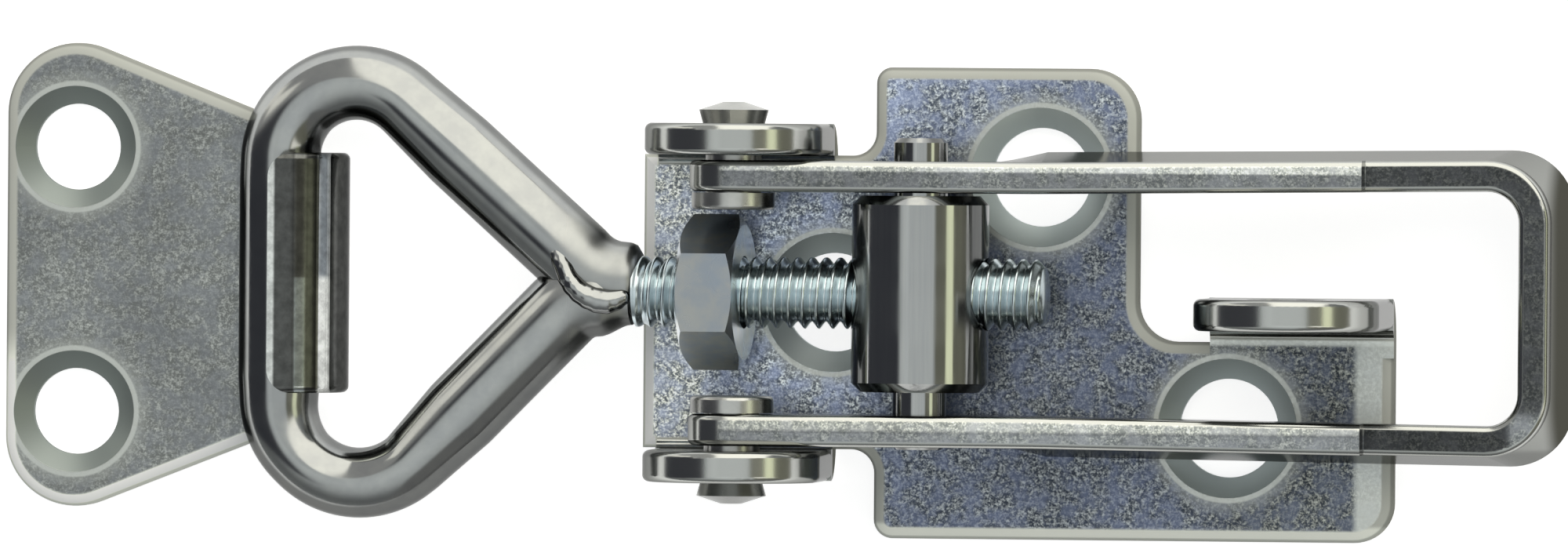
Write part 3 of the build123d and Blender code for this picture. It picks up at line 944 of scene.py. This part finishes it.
    def rod(self) -> Mesh:
        """Makes the threaded rod: a grid wrapped round the axis, with a winding groove.

        Returns:
            The mesh in the rod's own millimetres.
        """
        sheet = GeometrySheet("winding_thread")
        whole = self.thread_start + self.overhang
        start = sheet.size("Start", -self.thread_start)
        length = sheet.size("Length", whole)
        pitch = sheet.size("Pitch", self.pitch)
        crest = sheet.size("Crest radius", self.thread / 2)
        depth = sheet.size("Depth", self.depth)
        rows = int(whole / self.pitch * self.rows_a_turn)
        grid = sheet.node("GeometryNodeMeshGrid", (1.0, 1.0, self.round_points, rows))
        around, ahead, _ = sheet.split(sheet.node("GeometryNodeInputPosition").outputs[0])
        around = sheet.math("ADD", around, 0.5)
        along = sheet.math("MULTIPLY", sheet.math("ADD", ahead, 0.5), length)

        # the groove's depth, from crest to root and back once in each pitch
        phase = sheet.math("SUBTRACT", sheet.math("DIVIDE", along, pitch), around)
        wave = sheet.math("MULTIPLY", sheet.math("FRACT", phase), 2.0)
        wave = sheet.math("ABSOLUTE", sheet.math("SUBTRACT", wave, 1.0))
        inputs = (wave, self.crest_ends, self.root_starts, 0.0, 1.0)
        tooth = sheet.node("ShaderNodeMapRange", inputs, interpolation_type="LINEAR").outputs[0]
        run_out = sheet.math("MINIMUM", sheet.math("DIVIDE", along, self.run_out), 1.0)
        cut = sheet.math("MULTIPLY", sheet.math("MULTIPLY", tooth, depth), run_out)
        radius = sheet.math("SUBTRACT", crest, cut)

        # the bevel and the flat cap at the far end
        left = sheet.math("SUBTRACT", length, along)
        cone = sheet.math("ADD", sheet.math("SUBTRACT", crest, self.bevel), left)
        radius = sheet.math("MINIMUM", radius, cone)
        radius = sheet.math("MULTIPLY", radius, sheet.math("GREATER_THAN", left, self.end_cap))

        turn = sheet.math("MULTIPLY", around, -2 * math.pi)
        sideways = sheet.math("MULTIPLY", radius, sheet.math("COSINE", turn))
        upward = sheet.math("MULTIPLY", radius, sheet.math("SINE", turn))
        spun = sheet.gather(sheet.math("ADD", along, start), sideways, upward)
        inputs = {"Geometry": grid.outputs["Mesh"], "Position": spun}
        wound = sheet.node("GeometryNodeSetPosition", inputs).outputs[0]
        closed = sheet.node("GeometryNodeMergeByDistance", {"Geometry": wound, "Distance": self.seam})
        return sheet.bake(closed.outputs[0])

    def weld(self) -> Mesh:
        """Melts a run of beads into the weld where the wire's end meets the neck.

        Returns:
            The mesh in the rod's own millimetres.
        """
        beads = bpy.data.meshes.new("weld_beads")
        beads.from_pydata([bead[:3] for bead in self.beads], [], [])
        widths = beads.attributes.new("bead", "FLOAT", "POINT")
        widths.data.foreach_set("value", [bead[3] for bead in self.beads])
        sheet = GeometrySheet("melted_weld")
        grid = sheet.size("Grid", self.melt_grid)
        width = sheet.node("GeometryNodeInputNamedAttribute", ("bead",), data_type="FLOAT").outputs[0]
        inputs = {"Mesh": sheet.source.outputs["Geometry"], "Radius": width}
        dots = sheet.node("GeometryNodeMeshToPoints", inputs).outputs[0]
        inputs = {"Points": dots, "Voxel Size": grid, "Radius": width}
        cloud = sheet.node("GeometryNodePointsToVolume", inputs, resolution_mode="VOXEL_SIZE")
        inputs = {"Volume": cloud.outputs[0], "Voxel Size": grid, "Threshold": self.melt_skin}
        skin = sheet.node("GeometryNodeVolumeToMesh", inputs, resolution_mode="VOXEL_SIZE")
        inputs = {"Iterations": self.melt_rounds}
        soft = sheet.node("GeometryNodeBlurAttribute", inputs, data_type="FLOAT_VECTOR")
        rough, eased = (
            [socket for socket in sockets if socket.enabled][0] for sockets in (soft.inputs, soft.outputs)
        )
        sheet.join(sheet.node("GeometryNodeInputPosition").outputs[0], rough)
        inputs = {"Geometry": skin.outputs[0], "Position": eased}
        moved = sheet.node("GeometryNodeSetPosition", inputs)
        return sheet.bake(moved.outputs[0], beads)

    def build(self) -> None:
        """Builds the loop, the rod and the weld and hands them over."""
        for name, make, finish, sharp in (
            ("wire_loop", self.loop, self.finish, 50.0),
            ("threaded_rod", self.rod, self.thread_finish, 60.0),
            ("weld", self.weld, self.weld_finish, 180.0),
        ):
            mesh = make()
            mesh.materials.append(finish.material())
            mesh.transform(self.place.matrix)
            shape = bmesh.new()
            shape.from_mesh(mesh)
            bmesh.ops.recalc_face_normals(shape, faces=shape.faces)
            shape.to_mesh(mesh)
            shape.free()
            smooth(mesh, sharp)
            piece = link(name, mesh)
            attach(piece, "bolt")
            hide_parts("draw_bolt")
            LOG.info("piece %s rides on the bolt", name)


def dress(finish: Finish, *nodes: str) -> None:
    """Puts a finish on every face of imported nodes.

    Args:
        finish: The finish, which the nodes share.
        *nodes: The nodes' names.
    """
    material = finish.material()
    for node in nodes:
        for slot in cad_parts[node].material_slots:
            slot.link = "OBJECT"
            slot.material = material
        LOG.info("node %s wears %s", node, material.name)


@dataclass
class SheetParts:
    """The three pieces of folded sheet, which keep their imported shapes."""

    base: TumbledZinc = TumbledZinc(
        "speckled_zinc_base",
        holes=((7.8, 0.0), (26.3, 11.3), (43.2, -10.9)),
        cone=(0.64, 0.70, 0.70),
        painted_face_shading=(
            # painted reflections: the base's faces lighter or darker by stretches
            Zone(right=-3.5, gain=1.3, soft=3.0, hue=(1.06, 1.0, 0.86)),
            Zone(right=11.0, gain=1.75, soft=10.0),
            Zone(right=24.0, near=-13.0, gain=1.25, soft=10.0),
            Zone(near=13.0, gain=1.6, soft=2.0),
            Zone(left=42.0, gain=0.88, soft=8.0, hue=(1.06, 1.03, 0.92)),
        ),
        pale_stripes=(
            # pale stripes: over the base's right end, and a thin one from 41.3 mm rightward
            Zone(left=54.6, gain=1.6, soft=0.8),
            Zone(left=41.3, near=-3.5, far=-2.5, gain=1.8, soft=0.4),
        ),
        painted_edge_shading=(
            # painted light on the base's left-end edges and lower edges
            Zone(right=-8.0, gain=1.75, soft=0.4),
            Zone(far=-19.6, gain=1.5, soft=0.5),
        ),
        # painted shade on the base's steep sides
        painted_flank_shading=(0.3, 0.5, 0.65),
        glance=0.4,
    )
    lever: TumbledZinc = TumbledZinc(
        "speckled_zinc_lever",
        light=(0.40, 0.41, 0.39),
        dark=(0.12, 0.13, 0.135),
        tint=(0.22, 0.23, 0.25),
        sheet=50.0,
        rim=(0.50, 0.51, 0.49),
        rim_roughness=0.17,
        rim_ease=0.0,
        # painted shade on the lever's steep sides
        painted_flank_shading=(0.4, 0.7, 0.75),
        glance=0.5,
        painted_face_shading=(
            # painted light and shade on the lever: cream highlight strips along the arms' top edges, a
            # lighter middle, darker past the step, light lines and a light patch on the grip
            Zone(right=56.0, near=11.75, gain=3.1, soft=0.25, hue=(1.03, 1.0, 0.93)),
            Zone(right=56.0, near=-11.2, far=-5.0, gain=2.6, soft=0.4, hue=(1.03, 1.0, 0.93)),
            Zone(left=56.05, gain=0.42, soft=0.1),
            Zone(left=18.0, right=56.0, gain=1.2, soft=8.0),
            Zone(left=71.95, gain=3.4, soft=0.3),
            Zone(left=68.9, right=72.0, near=-13.0, far=-9.4, gain=3.2, soft=1.2),
            Zone(right=56.0, near=-14.0, far=-11.4, gain=1.35, soft=0.3),
            Zone(left=56.05, right=69.0, near=-14.0, far=-9.0, gain=0.72, soft=0.3),
        ),
        painted_edge_shading=(
            # painted shade on the grip's outer face and on the lower arm's edges
            Zone(left=72.2, gain=0.2, soft=1.4, hue=(1.03, 1.0, 0.86)),
            Zone(left=10.0, far=-12.6, gain=0.7, soft=0.6),
        ),
    )
    catch: TumbledZinc = TumbledZinc(
        "speckled_zinc_catch",
        light=(0.50, 0.515, 0.49),
        dark=(0.18, 0.19, 0.185),
        tint=(0.235, 0.25, 0.27),
        holes=((-60.6, 13.35), (-60.6, -10.35)),
        cone=(0.34, 0.375, 0.36),
        sink=5.45,
        sheet=2.5,
        # painted light on the catch's lower edges
        painted_edge_shading=(Zone(far=-5.0, gain=1.75, soft=5.0),),
        # painted shade on the catch's steep sides
        painted_flank_shading=(0.3, 0.5, 0.7),
        glance=0.5,
        curl_from=-43.4,
        # painted reflections: light and dark bands along the hook's curl
        painted_curl_reflections=(
            (-43.6, 0.5), (-41.95, 0.35), (-41.75, 1.6), (-41.3, 1.6), (-41.1, 0.22), (-39.5, 0.2),
            (-39.3, 0.55), (-38.6, 0.5), (-38.35, 0.14), (-37.6, 0.12), (-37.35, 1.55),
            (-36.6, 1.55), (-36.45, 0.3), (-36.1, 0.25), (-35.9, 0.13), (-35.2, 0.13),
        ),
        # painted shade and a painted highlight on stretches of the curl
        painted_curl_shading=(
            Zone(left=-39.5, right=-38.4, near=1.9, gain=0.5, soft=0.8),
            Zone(left=-37.5, right=-36.5, near=1.9, gain=0.3, soft=0.8, hue=(0.9, 0.98, 1.1)),
            Zone(left=-39.4, right=-38.5, far=1.9, gain=1.9, soft=0.2, hue=(0.93, 1.0, 1.06)),
        ),
        flat_strip=Zone(left=-37.4, right=-36.5, gain=-0.4, soft=0.1),
    )

    def build(self) -> None:
        """Gives each sheet its finish."""
        dress(self.base, "base_plate")
        dress(self.lever, "lever")
        dress(self.catch, "catch_plate")


@dataclass
class TurnedParts:
    """The trunnion, the rivets and the lock nut."""

    # the barrel keeps the default painted shade on its flanks
    barrel: BrightZinc = BrightZinc(
        "polished_zinc_barrel",
        colour=(0.46, 0.47, 0.46),
        shade=(0.42, 0.43, 0.43),
        grain=(2500.0, 60.0, 2500.0),
        roughness=0.1,
        waviness=0.06,
    )
    rivet: BrightZinc = BrightZinc(
        "zinc_rivet",
        colour=(0.55, 0.55, 0.53),
        shade=(0.47, 0.48, 0.46),
        roughness=0.27,
        waviness=0.3,
        # painted shade on the rivets' flanks, darker on the near side
        painted_flank_shading=(0.3, 0.5, 0.4),
        painted_far_flank_shading=(0.3, 0.5, 0.8),
    )
    nut: BrightZinc = BrightZinc(
        "zinc_nut",
        shade=(0.34, 0.38, 0.43),
        roughness=0.28,
        waviness=0.2,
        # painted light on the nut's slanted facets, strongest on the near side
        painted_flank_shading=(0.25, 0.45, 2.2),
        painted_far_flank_shading=(0.25, 0.45, 1.5),
    )

    def build(self) -> None:
        """Gives each turned piece its finish."""
        dress(self.barrel, "trunnion")
        dress(self.rivet, "upper_pivot_rivet", "lower_pivot_rivet")
        dress(self.nut, "lock_nut")


# ---- studio ----


class Tint(Enum):
    """The hues of the light that falls on the latch."""

    COOL = (0.96, 1.0, 0.995)
    PLAIN = (1.0, 1.0, 0.98)
    CREAM = (1.0, 0.975, 0.89)
    STRAW = (1.0, 1.03, 0.72)
    OLIVE = (1.0, 0.99, 0.78)
    SLATE = (0.93, 0.97, 1.12)


@dataclass(frozen=True)
class Card(Area):
    """A light or dark card that stands round the latch and shows in its metal.

    Its edges are angles from the top of the dome, in degrees.
    """

    brightness: float = 1.0
    tint: Tint = Tint.PLAIN

    @property
    def light(self) -> Colour:
        """The colour of the card's light."""
        return tuple(channel * self.brightness for channel in self.tint.value)


@dataclass
class Studio:
    """Surroundings, floor and camera."""

    # the dome's brightness at degrees from its top, which leans by tilt_x, and its cards
    dome: tuple[Pair, ...] = (
        (0, 0.50), (20, 0.49), (32, 0.42), (45, 0.33), (60, 0.19), (72, 0.12), (105, 0.14), (140, 0.20),
    )
    dome_tint: Tint = Tint.COOL
    cards: tuple[Card, ...] = (
        Card(-200, -20, 18, 200, 5, 0.25, Tint.PLAIN),
        Card(-200, -35, -27, 19, 9, 0.035, Tint.SLATE),
        Card(-76, -50, 27, 43, 5, 0.75, Tint.CREAM),
        Card(-110, -68, 38, 60, 8, 0.75, Tint.CREAM),
        Card(-20, 200, -2, 14, 4, 0.40, Tint.COOL),
        Card(24, 200, -60, 16, 7, 0.12, Tint.OLIVE),
        Card(12, 200, -200, -42, 8, 0.12, Tint.PLAIN),
        Card(28, 58, -19, -6, 5, 0.80, Tint.CREAM),
        Card(44, 57, -14, 16, 3, 0.70, Tint.STRAW),
        Card(-20, 46, 14, 200, 3, 1.02, Tint.CREAM),
    )
    level: float = 1.8

    # the floor: half its width, how far it lies below the latch, and its finish
    floor_half: float = 1.5
    floor_drop: float = 0.0001
    floor_finish: PaleFloor = PaleFloor("pale_floor")

    # the camera: distance, angles in degrees off straight above, the picture's width, its aim
    distance: float = 1.6
    tilt_x: float = 6.5
    tilt_y: float = 0.5
    roll: float = 0.5
    view_width: float = 0.13986
    target: Triple = (0.00341, 0.00245, 0.0028)
    sensor: float = 36.0
    clip: Pair = (0.05, 20.0)

    def surroundings(self) -> None:
        """Builds the world from the dome and the cards, which show in the latch's metal."""
        world = bpy.data.worlds.new("soft_studio")
        bpy.context.scene.world = world
        world.use_nodes = True
        sheet = ShaderSheet(world.node_tree)
        inputs = {
            "Vector": sheet.node("ShaderNodeTexCoord").outputs["Generated"],
            "Rotation": (0.0, -math.radians(self.tilt_x), 0.0),
        }
        ahead, aside, above = sheet.split(sheet.node("ShaderNodeMapping", inputs).outputs[0])
        bearing = sheet.math("ARCTAN2", aside, ahead)
        drop = sheet.math("MULTIPLY", sheet.math("ARCCOSINE", above), HALF_TURN / math.pi)
        sheet.along = sheet.math("MULTIPLY", drop, sheet.math("COSINE", bearing))
        sheet.across = sheet.math("MULTIPLY", drop, sheet.math("SINE", bearing))
        points = [
            (angle / HALF_TURN, tuple(channel * brightness for channel in self.dome_tint.value))
            for angle, brightness in self.dome
        ]
        total = sheet.stops(sheet.math("DIVIDE", drop, HALF_TURN), points)
        for card in self.cards:
            total = sheet.blend(card.share(sheet), total, card.light)
        shade = sheet.node("ShaderNodeBackground", {"Color": total, "Strength": self.level})
        sheet.show(shade, "ShaderNodeOutputWorld")

    def floor(self) -> None:
        """Lays a plain pale floor under the latch."""
        shape = bmesh.new()
        bmesh.ops.create_grid(shape, x_segments=1, y_segments=1, size=self.floor_half)
        bmesh.ops.translate(shape, verts=shape.verts, vec=(0.0, 0.0, -self.floor_drop))
        mesh = bpy.data.meshes.new("floor")
        shape.to_mesh(mesh)
        shape.free()
        mesh.materials.append(self.floor_finish.material())
        link("floor", mesh)

    def camera(self) -> None:
        """Sets a long lens nearly straight above the latch."""
        data = bpy.data.cameras.new("camera")
        data.sensor_width = self.sensor
        data.lens = self.sensor * self.distance / self.view_width
        data.clip_start, data.clip_end = self.clip
        made = link("camera", data)
        slopes = (math.tan(math.radians(tilt)) for tilt in (self.tilt_x, self.tilt_y))
        away = Vector((*slopes, 1.0)).normalized()
        right = Vector((1.0, 0.0, 0.0))
        right = (right - away * right.dot(away)).normalized()
        up = away.cross(right)
        turned = Matrix.Rotation(math.radians(self.roll), 4, away)
        axes = Matrix((turned @ right, turned @ up, away)).transposed().to_4x4()
        made.matrix_world = Matrix.Translation(Vector(self.target) + away * self.distance) @ axes
        bpy.context.scene.camera = made

    def build(self) -> None:
        """Sets up the studio."""
        self.surroundings()
        self.floor()
        self.camera()
        bpy.context.scene.view_settings.view_transform = "Standard"


def main() -> None:
    """Builds the latch and the studio."""
    logging.basicConfig(level=logging.INFO, format="%(message)s")
    place = BoltFrame()
    for part in (SheetParts(), TurnedParts(), DrawBolt(place), Studio()):
        part.build()
        LOG.info("built %s", type(part).__name__)


if __name__ == "__main__":
    main()
